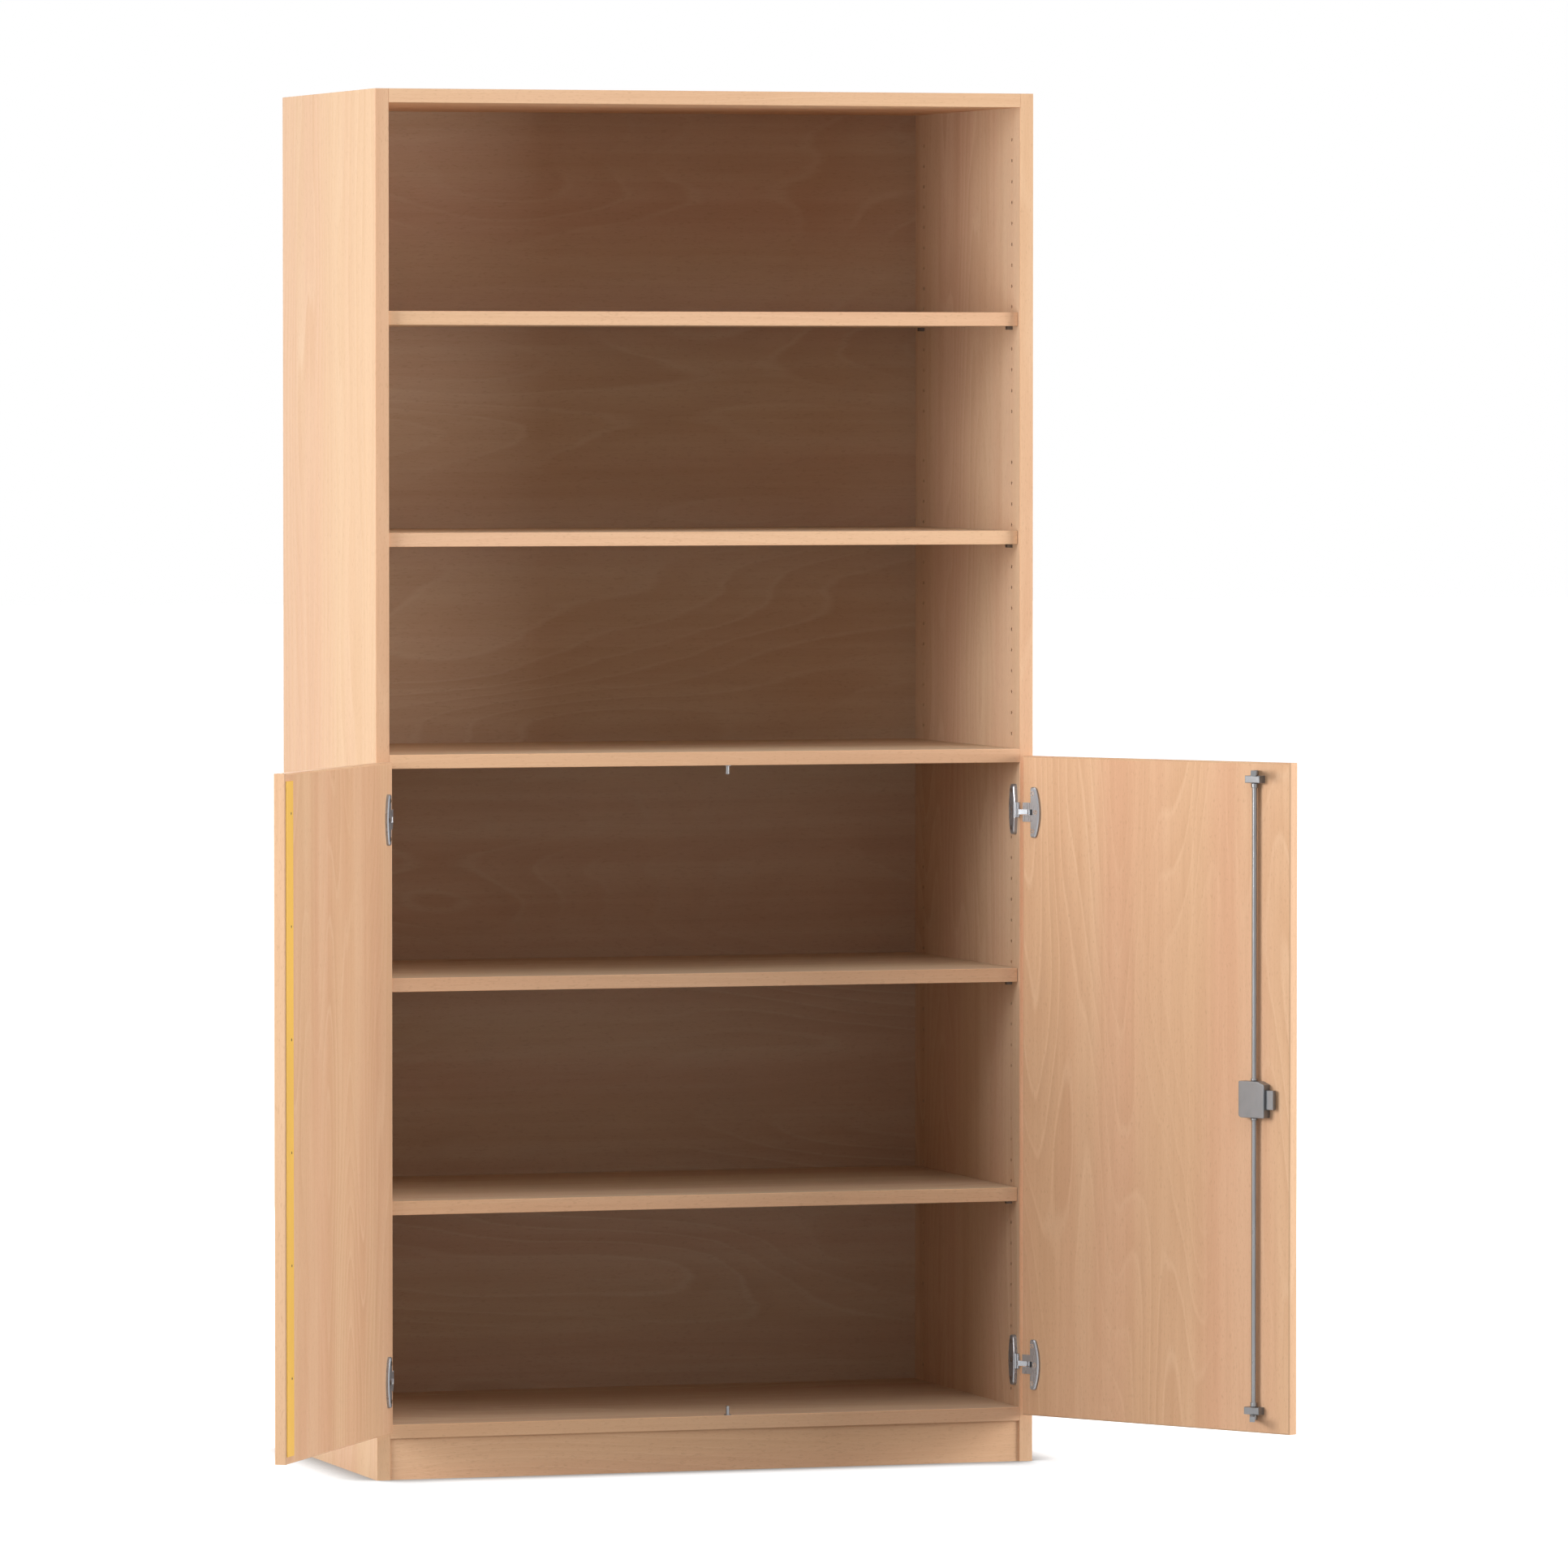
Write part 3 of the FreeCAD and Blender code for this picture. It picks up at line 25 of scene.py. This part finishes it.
# ------------------------------------------------------------------ node helpers
class Graph:
    """Material with a Principled shader, and short ways to add nodes to it."""

    def __init__(self, name):
        self.mat = bpy.data.materials.new(name)
        self.mat.use_nodes = True
        self.tree = self.mat.node_tree
        self.tree.nodes.clear()
        self.out = self.add("ShaderNodeOutputMaterial")
        self.bsdf = self.add("ShaderNodeBsdfPrincipled")
        self.join(self.bsdf.outputs["BSDF"], self.out.inputs["Surface"])

    def add(self, kind, **props):
        node = self.tree.nodes.new(kind)
        for key, value in props.items():
            setattr(node, key, value)
        return node

    def join(self, a, b):
        self.tree.links.new(a, b)

    def put(self, socket, value):
        """Link an output to a socket, or set a plain value on it."""
        if isinstance(value, bpy.types.NodeSocket):
            self.join(value, socket)
        else:
            socket.default_value = value

    def shade(self, name, value):
        """Give a value to an input of the Principled shader."""
        self.put(self.bsdf.inputs[name], value)

    def math(self, op, a, b=0.0):
        node = self.add("ShaderNodeMath", operation=op)
        for socket, value in zip(node.inputs, (a, b)):
            self.put(socket, value)
        return node.outputs[0]

    def mix(self, fac, a, b, blend="MIX"):
        """Mix two colours, each a socket or a tuple of three numbers."""
        node = self.add("ShaderNodeMix", data_type="RGBA", blend_type=blend)
        self.put(node.inputs["Factor"], fac)
        for socket, value in ((node.inputs[MIX_A], a), (node.inputs[MIX_B], b)):
            self.put(socket, (*value, 1.0) if isinstance(value, tuple) else value)
        return node.outputs[MIX_RESULT]

    def ramp(self, fac, low, high, to_low=0.0, to_high=1.0):
        """Smooth step of fac between low and high; a low above high turns it round."""
        node = self.add("ShaderNodeMapRange", interpolation_type="SMOOTHSTEP")
        for socket, value in zip(node.inputs, (fac, low, high, to_low, to_high)):
            self.put(socket, value)
        return node.outputs[0]

    def hump(self, fac, up, down):
        """Rise from 0 to 1 over the range up and fall back over the range down."""
        return self.math("MULTIPLY", self.ramp(fac, *up), self.ramp(fac, *down, 1.0, 0.0))

    def coat(self, colour, ink, layer, start, full, strength):
        """Lay ink over a colour where a noise layer goes from start to full."""
        return self.mix(self.ramp(layer, start, full, 0.0, strength), colour, ink)

    def noise(self, vector, fineness, detail=2.0, rough=0.5):
        """Noise of a given fineness, in cells per metre, across the grain and along it."""
        across, along = fineness
        stretch = self.add("ShaderNodeVectorMath", operation="MULTIPLY")
        self.join(vector, stretch.inputs[0])
        stretch.inputs[1].default_value = (across, across, along)
        node = self.add("ShaderNodeTexNoise")
        self.join(stretch.outputs[0], node.inputs["Vector"])
        for name, value in (("Scale", 1.0), ("Detail", detail), ("Roughness", rough)):
            node.inputs[name].default_value = value
        return node.outputs["Fac"]

    def place(self, turn=0.0, shift=(0, 0, 0), order="xyz"):
        """Object coordinates turned about Z by degrees, shifted by metres and put in the order
        (across the grain, through the board, along the grain)."""
        coords = self.add("ShaderNodeTexCoord")
        mapping = self.add("ShaderNodeMapping")
        self.join(coords.outputs["Object"], mapping.inputs["Vector"])
        mapping.inputs["Rotation"].default_value = (0, 0, math.radians(turn))
        mapping.inputs["Location"].default_value = shift
        if order == "xyz":
            return mapping.outputs[0]
        split = self.add("ShaderNodeSeparateXYZ")
        merge = self.add("ShaderNodeCombineXYZ")
        self.join(mapping.outputs[0], split.inputs[0])
        for i, axis in enumerate(order):
            self.join(split.outputs["xyz".index(axis)], merge.inputs[i])
        return merge.outputs[0]

    def bump(self, height, strength, distance):
        node = self.add("ShaderNodeBump")
        self.join(height, node.inputs["Height"])
        node.inputs["Strength"].default_value = strength
        node.inputs["Distance"].default_value = distance
        self.shade("Normal", node.outputs["Normal"])


def lin(r, g, b):
    """Linear colour from sRGB values of 0 to 255."""
    def one(v):
        v /= 255
        return v / 12.92 if v <= 0.04045 else ((v + 0.055) / 1.055) ** 2.4
    return (one(r), one(g), one(b))


# ------------------------------------------------------------------ beech
BEECH = lin(227, 183, 146)
BEECH_PINK = lin(226, 176, 142)
BEECH_YELLOW = lin(230, 192, 151)
BEECH_LIGHT = lin(238, 202, 166)
BEECH_DARK = lin(205, 156, 118)
FLECK = lin(178, 128, 92)

# noise layers: cells per metre across and along the grain, detail, roughness
GRAIN = {
    "sway": ((2.2, 0.8), 2.0, 0.5),
    "jitter": ((38.0, 4.0), 2.0, 0.5),
    "patch": ((6.0, 1.3), 2.0, 0.5),
    "tint": ((8.0, 0.5), 2.0, 0.5),
    "broad": ((26.0, 0.8), 2.0, 0.5),
    "streak": ((95.0, 2.4), 3.0, 0.6),
    "fibre": ((420.0, 9.0), 3.0, 0.6),
    "pores": ((900.0, 110.0), 2.0, 0.6),
    "flecks": ((480.0, 120.0), 1.0, 0.5),
}
HILL_NOISE = (1.0, 0.4)                     # detail and roughness of the hills
HILL_GAIN = 2.2                             # height of the hills, for each ring asked for
SWAY_GAIN = 0.08                            # rings swayed sideways, for each ring of the trend
JITTER_GAIN = 0.55                          # rings that the jitter moves a contour by
PATCHES = (0.38, 0.64, 0.1, 1.0)            # patches in which the rings fade to a tenth
LATE_WOOD = ((0.15, 0.72), (0.76, 0.88))    # where in a ring the dark late wood comes and goes
RING_LINE = ((0.74, 0.88), (0.88, 1.0))     # and the light line after it
LATE_STRENGTH, LINE_STRENGTH = 0.20, 0.40
TINT_RANGE = (0.34, 0.64)
MAIN_SHARE = 0.55                           # share of the main colour over the slow tints

# coats over the veneer: ink, noise layer, where it starts and is full, strength
STREAK_COATS = (
    (BEECH_LIGHT, "broad", 0.42, 0.72, 0.34),
    (BEECH_DARK, "broad", 0.56, 0.28, 0.20),
    (BEECH_LIGHT, "streak", 0.46, 0.74, 0.22),
    (BEECH_DARK, "streak", 0.50, 0.26, 0.16),
)
FINE_COATS = (
    (BEECH_DARK, "fibre", 0.48, 0.74, 0.16),
    (BEECH_DARK, "pores", 0.52, 0.76, 0.26),
    (FLECK, "flecks", 0.60, 0.72, 0.18),
)
BEECH_ROUGHNESS = (0.3, 1.5, 0.52, 0.62)    # fibre plus late wood, mapped to roughness
BEECH_SPECULAR = 0.16
FIBRE_DEPTH, PORE_DEPTH = 0.6, 0.4          # shares in the relief
BEECH_RELIEF = (0.12, 0.0004)               # strength, and height in metres
NO_TONE = (1.0, 1.0, 1.0)


def beech(name, turn=0.0, shift=(0, 0, 0), order="xyz", trend=22.0, rings=9.0, cell=(7.0, 1.1),
          figure=1.0, streaks=1.0, tone_and_light=NO_TONE):
    """Flat-sawn beech veneer: growth rings as contour lines drawn out along the grain into ovals
    and arches, with soft streaks, fibres, pores and ray flecks.

    The contours are cut from hills (rings high, cell fine) on a steady slope of trend rings per
    metre across the leaf. Figure and streaks are strengths, and tone_and_light multiplies the
    colour: on several pieces it paints in the light or shade that falls on that face.
    """
    g = Graph(name)
    p = g.place(turn, shift, order)
    layers = {key: g.noise(p, *settings) for key, settings in GRAIN.items()}
    split = g.add("ShaderNodeSeparateXYZ")
    g.join(p, split.inputs[0])
    across = split.outputs[0]

    # growth rings: a slow height field cut into levels, over a steady rise across the leaf
    level = g.math("MULTIPLY", g.noise(p, cell, *HILL_NOISE), HILL_GAIN * rings)
    for part, gain in ((across, trend), (layers["sway"], SWAY_GAIN * trend),
                       (layers["jitter"], JITTER_GAIN)):
        level = g.math("ADD", level, g.math("MULTIPLY", part, gain))
    phase = g.math("FRACT", level)
    patch = g.ramp(layers["patch"], *PATCHES)
    late = g.hump(phase, *LATE_WOOD)
    line = g.hump(phase, *RING_LINE)

    # slow tints, streaks along the grain, rings, then fibres, pores and ray flecks
    colour = g.mix(g.ramp(layers["tint"], *TINT_RANGE), BEECH_PINK, BEECH_YELLOW)
    colour = g.mix(MAIN_SHARE, colour, BEECH)
    for ink, key, start, full, strength in STREAK_COATS:
        colour = g.coat(colour, ink, layers[key], start, full, strength * streaks)
    for ink, ring, strength in ((BEECH_DARK, late, LATE_STRENGTH),
                                (BEECH_LIGHT, line, LINE_STRENGTH)):
        mask = g.math("MULTIPLY", g.math("MULTIPLY", ring, patch), strength * figure)
        colour = g.mix(mask, colour, ink)
    for ink, key, start, full, strength in FINE_COATS:
        colour = g.coat(colour, ink, layers[key], start, full, strength)
    # tone_and_light multiplies the colour; on several pieces it is painted light or painted shade
    if tone_and_light != NO_TONE:
        colour = g.mix(1.0, colour, tone_and_light, "MULTIPLY")

    g.shade("Base Color", colour)
    g.shade("Roughness", g.ramp(g.math("ADD", layers["fibre"], late), *BEECH_ROUGHNESS))
    g.shade("Specular IOR Level", BEECH_SPECULAR)
    height = g.math("ADD", g.math("MULTIPLY", layers["fibre"], FIBRE_DEPTH),
                    g.math("MULTIPLY", layers["pores"], PORE_DEPTH))
    g.bump(height, *BEECH_RELIEF)
    return g.mat


# ------------------------------------------------------------------ metals and plastic
# noise layers: cells per metre across and along the brushing, detail, roughness
BRUSHING = ((1400.0, 60.0), 3.0, 0.6)
CLOUDS = ((70.0, 30.0), 2.0, 0.5)
MOULD_GRAIN = ((1600.0, 1600.0), 2.0, 0.5)
MOULD_DRIFT = ((12.0, 3.0), 2.0, 0.5)
SHADE = 0.86                        # the darker tone of a metal or plastic, beside its colour
# coats of the darker tone: where the layer starts and is full, strength
CLOUD_COAT = (0.35, 0.72, 0.7)
BRUSH_COAT = (0.45, 0.75, 0.25)
DRIFT_COAT = (0.3, 0.7, 0.7)
METAL_SPREAD = (-0.03, 0.05)        # roughness below and above the given one
PLASTIC_SPREAD = (-0.05, 0.08)
METAL_RANGE = (0.6, 1.4)            # brushing plus clouds that this spread goes with
GRAIN_RANGE = (0.3, 0.7)            # the same for a plastic's grain
METAL_RELIEF = (0.01, 0.0001)       # strength, and height in metres
PLASTIC_RELIEF = (0.15, 0.0001)


def metal(name, colour, rough, metallic=1.0):
    """Plated metal: fine brushing, cloudy roughness and faint darker patches."""
    g = Graph(name)
    p = g.place()
    lines = g.noise(p, *BRUSHING)
    cloud = g.noise(p, *CLOUDS)
    dark = tuple(c * SHADE for c in colour)
    tinted = g.coat(colour, dark, cloud, *CLOUD_COAT)
    g.shade("Base Color", g.coat(tinted, dark, lines, *BRUSH_COAT))
    g.shade("Metallic", metallic)
    spread = (rough + change for change in METAL_SPREAD)
    g.shade("Roughness", g.ramp(g.math("ADD", lines, cloud), *METAL_RANGE, *spread))
    g.bump(lines, *METAL_RELIEF)
    return g.mat


def plastic(name, colour, rough):
    """Moulded plastic with a fine grain and slow colour drift."""
    g = Graph(name)
    p = g.place()
    grain = g.noise(p, *MOULD_GRAIN)
    drift = g.noise(p, *MOULD_DRIFT)
    dark = tuple(c * SHADE for c in colour)
    g.shade("Base Color", g.coat(colour, dark, drift, *DRIFT_COAT))
    spread = (rough + change for change in PLASTIC_SPREAD)
    g.shade("Roughness", g.ramp(grain, *GRAIN_RANGE, *spread))
    g.bump(grain, *PLASTIC_RELIEF)
    return g.mat


# ------------------------------------------------------------------ which piece gets what
# Each shift takes its piece from another part of the pattern, so no two boards look the same.
LEFT = 122.8                            # turns that bring the open doors into line with X
RIGHT = 180 - LEFT
STRAIGHT = {"trend": 90.0, "rings": 3.0, "figure": 0.5, "streaks": 0.7}
# front edges and plinth front: straight grain made lighter, painted light on the faces toward the
# front
LIT_FRONTS = dict(STRAIGHT, tone_and_light=(1.08, 1.08, 1.09))
INSIDE_SHADE_TONE = (0.89, 1.04, 1.18)             # shelves and panels inside the case, greyer and less red: painted shade for the cooler light inside the case
SHELVES = ("shelf_open_lower", "shelf_open_upper", "shelf_closed_lower", "shelf_closed_upper")
BANDS_ACROSS = ("edge_band_top_panel", "edge_band_middle_panel", "edge_band_bottom_panel",
                "edge_bands_shelves")
MATS = {
    "side_panel_left": beech("beech_side_left", order="yxz", shift=(0, 0, 0.31), trend=40.0,
                             rings=4.0, figure=0.5, streaks=0.6, tone_and_light=(0.945, 0.985, 1.015)),
    # the right side shows its inner face, in shade; its greyer tone paints that shade
    "side_panel_right": beech("beech_side_right", order="yxz", shift=(3.1, 0.2, 2.3), trend=12.0,
                              tone_and_light=(0.88, 0.95, 1.04)),
    "top_panel": beech("beech_top", order="yzx", shift=(1.7, 0, 4.0)),
    "middle_panel": beech("beech_middle", order="yzx", shift=(5.7, 0, 1.0), tone_and_light=INSIDE_SHADE_TONE),
    "bottom_panel": beech("beech_bottom", order="yzx", shift=(8.7, 0, 0.0), tone_and_light=INSIDE_SHADE_TONE),
    # the back panel's greyer, less red tone is painted shade, the cooler light at the back of the
    # case
    "back_panel": beech("beech_back", order="zyx", shift=(0.35, 0, 0.0), trend=6.0, rings=8.0,
                        cell=(5.0, 1.3), tone_and_light=(0.80, 0.95, 1.14)),
    "plinth_front": beech("beech_plinth_front", order="zyx", shift=(2.3, 0, 0.4), **LIT_FRONTS),
    "plinth_rear": beech("beech_plinth_rear", order="zyx", shift=(4.3, 0, 0.4), **STRAIGHT),
    "door_panel_left": beech("beech_door_left", turn=LEFT, shift=(2.0, 0, 5.2), trend=10.0,
                             tone_and_light=(0.97, 0.96, 0.96)),
    # the right door is made lighter: painted light on its inner face
    "door_panel_right": beech("beech_door_right", turn=RIGHT, shift=(0.6, 0, 1.0), trend=4.0,
                              rings=10.0, tone_and_light=(1.10, 1.09, 1.10)),
    "edge_band_side_left": beech("beech_band_left", order="yxz", shift=(0, 0, 7.1), **STRAIGHT),
    "edge_band_side_right": beech("beech_band_right", order="yxz", shift=(0, 0, 9.1), **LIT_FRONTS),
    "edge_bands_door_left": beech("beech_band_door_left", turn=LEFT, shift=(0, 0, 3.0),
                                  **STRAIGHT),
    "edge_bands_door_right": beech("beech_band_door_right", turn=RIGHT, shift=(0, 0, 4.0),
                                   tone_and_light=(0.95, 0.95, 0.95), **STRAIGHT),
}
for i, name in enumerate(SHELVES):
    shift = (0.13 * i, 0, 2.2 * i + 1.1)
    MATS[name] = beech("beech_" + name, order="yzx", shift=shift, tone_and_light=INSIDE_SHADE_TONE)
MATS.update(dict.fromkeys(
    BANDS_ACROSS, beech("beech_band_across", order="zyx", shift=(6.0, 0, 0.2), **LIT_FRONTS)))

CASTING = metal("satin_casting", lin(132, 134, 137), 0.34, metallic=0.6)
NICKEL = metal("bright_nickel", lin(170, 173, 178), 0.28, metallic=0.65)
STEEL = metal("plated_steel", lin(144, 145, 147), 0.30, metallic=0.75)
SCREW = metal("screw_steel", lin(214, 215, 217), 0.20)
# dark steel of the shelf supports and closing strip screws; on the supports the darkness is
# partly their finish and partly painted shade under the shelves
DARK = metal("support_steel", lin(120, 112, 104), 0.45)
BRASS = metal("cylinder_brass", lin(206, 180, 118), 0.25)
YELLOW = plastic("strip_yellow", lin(252, 200, 92), 0.55)
DOWEL = beech("beech_dowel", order="yzx", **STRAIGHT)
MATS["closing_strip"] = YELLOW
MATS["key_cylinder"] = BRASS
MATS.update(dict.fromkeys(("shelf_supports", "closing_strip_screws"), DARK))
MATS.update(dict.fromkeys(("lock_case", "lock_base_plate", "lock_tongue", "rod_guides"), CASTING))


def fitting(name):
    """Material of a piece that has no entry of its own in MATS."""
    if "dowels" in name:
        return DOWEL
    if "screws" in name:
        return SCREW
    return NICKEL if name.startswith("hinge") else STEEL


for name, obj in nodes.items():
    material = MATS.get(name) or fitting(name)
    if not obj.material_slots:
        obj.data.materials.append(material)
    for slot in obj.material_slots:
        slot.material = material


# ------------------------------------------------------------------ floor, light and camera
FLOOR = (0.35, 0.36, 0.37)
FLOOR_LIGHTER = 1.04                # the lighter patches of the floor, beside its colour
FLOOR_PATCHES = (0.8, 0.8)          # cells per metre
FLOOR_ROUGHNESS, FLOOR_SPECULAR = 0.9, 0.1
FLOOR_HALF = 60.0                   # metres from the middle of the floor to its edges
CONTACT_SHADOW_REACH = 0.12                # metres from the object within which a contact shadow is painted on the floor
CONTACT_SHADOW_RANGE = (0.40, 0.98)        # share of open sky at which the painted shadow starts to lift and the white is full
CONTACT_SAMPLES = 16
WORLD = 0.21                        # strength of the white world on everything but the view
LIGHTS = {                          # place and aim in metres, side in metres, watts
    "left_box": ((-4.2, -1.08, 1.7), (0, 0, 1.0), 2.2, 170),
    "right_box": ((4.0, -1.9, 1.1), (0, 0, 0.9), 1.8, 149),
    "front_box": ((0.0, -3.0, 4.6), (0, 0, 0.9), 3.0, 41),
    "top_box": ((0.0, -0.8, 7.0), (0, 0, 0.8), 5.0, 100),
    "back_box": ((0.4, 4.8, 1.5), (0, 0, 0.9), 2.4, 180),
}
CAMERA_PLACE = (-4.3626, -14.4762, 1.4861)
CAMERA_DOWN, CAMERA_TURN = 2.041, -17.184       # degrees below level, and about Z
LENS, SENSOR = 252.18, 36.0                     # millimetres
CLIP_END = 200.0                                # metres


def seen_directly(tree):
    """1 on rays from the camera, off a mirror or through glass, and 0 on all other light."""
    path = tree.nodes.new("ShaderNodeLightPath")
    seen = path.outputs["Is Camera Ray"]
    for ray in ("Is Glossy Ray", "Is Transmission Ray"):
        either = tree.nodes.new("ShaderNodeMath")
        either.operation = "MAXIMUM"
        tree.links.new(seen, either.inputs[0])
        tree.links.new(path.outputs[ray], either.inputs[1])
        seen = either.outputs[0]
    return seen


def floor_material():
    """Pale floor that shows as white round the object, with a contact shadow painted on it close
    to the object.
    """
    g = Graph("floor")
    lighter = tuple(c * FLOOR_LIGHTER for c in FLOOR)
    g.shade("Base Color", g.mix(g.noise(g.place(), FLOOR_PATCHES), FLOOR, lighter))
    g.shade("Roughness", FLOOR_ROUGHNESS)
    g.shade("Specular IOR Level", FLOOR_SPECULAR)
    sky = g.add("ShaderNodeAmbientOcclusion", samples=CONTACT_SAMPLES)
    sky.inputs["Distance"].default_value = CONTACT_SHADOW_REACH
    # the glow seen directly fades near the object: a painted contact shadow
    white = g.math("MULTIPLY", seen_directly(g.tree), g.ramp(sky.outputs["AO"], *CONTACT_SHADOW_RANGE))
    glow = g.add("ShaderNodeEmission")
    glow.inputs["Color"].default_value = WHITE
    g.join(white, glow.inputs["Strength"])
    both = g.add("ShaderNodeAddShader")
    g.join(g.bsdf.outputs[0], both.inputs[0])
    g.join(glow.outputs[0], both.inputs[1])
    g.join(both.outputs[0], g.out.inputs["Surface"])
    return g.mat


def make_floor():
    mesh = bpy.data.meshes.new("floor")
    r = FLOOR_HALF
    mesh.from_pydata([(-r, -r, 0), (r, -r, 0), (r, r, 0), (-r, r, 0)], [], [(0, 1, 2, 3)])
    floor = bpy.data.objects.new("floor", mesh)
    scene.collection.objects.link(floor)
    mesh.materials.append(floor_material())


def make_world():
    """White to the view, and a dimmer white as light."""
    world = bpy.data.worlds.new("world")
    scene.world = world
    world.use_nodes = True
    tree = world.node_tree
    tree.nodes.clear()
    out = tree.nodes.new("ShaderNodeOutputWorld")
    back = tree.nodes.new("ShaderNodeBackground")
    level = tree.nodes.new("ShaderNodeMapRange")
    tree.links.new(seen_directly(tree), level.inputs["Value"])
    level.inputs["To Min"].default_value = WORLD
    level.inputs["To Max"].default_value = 1.0
    back.inputs["Color"].default_value = WHITE
    tree.links.new(level.outputs[0], back.inputs["Strength"])
    tree.links.new(back.outputs[0], out.inputs["Surface"])


def softbox(name, place, aim, size, power):
    """Large square lamp that faces a point."""
    lamp = bpy.data.lights.new(name, "AREA")
    lamp.shape = "SQUARE"
    lamp.size = size
    lamp.energy = power
    obj = bpy.data.objects.new(name, lamp)
    obj.location = place
    obj.rotation_euler = (Vector(aim) - Vector(place)).to_track_quat("-Z", "Y").to_euler()
    scene.collection.objects.link(obj)


def make_camera():
    lens = bpy.data.cameras.new("camera")
    lens.sensor_width = SENSOR
    lens.lens = LENS
    lens.clip_end = CLIP_END
    camera = bpy.data.objects.new("camera", lens)
    camera.location = CAMERA_PLACE
    camera.rotation_euler = (math.radians(90 - CAMERA_DOWN), 0, math.radians(CAMERA_TURN))
    scene.collection.objects.link(camera)
    scene.camera = camera


make_floor()
make_world()
for name, settings in LIGHTS.items():
    softbox(name, *settings)
make_camera()
scene.view_settings.view_transform = "Standard"
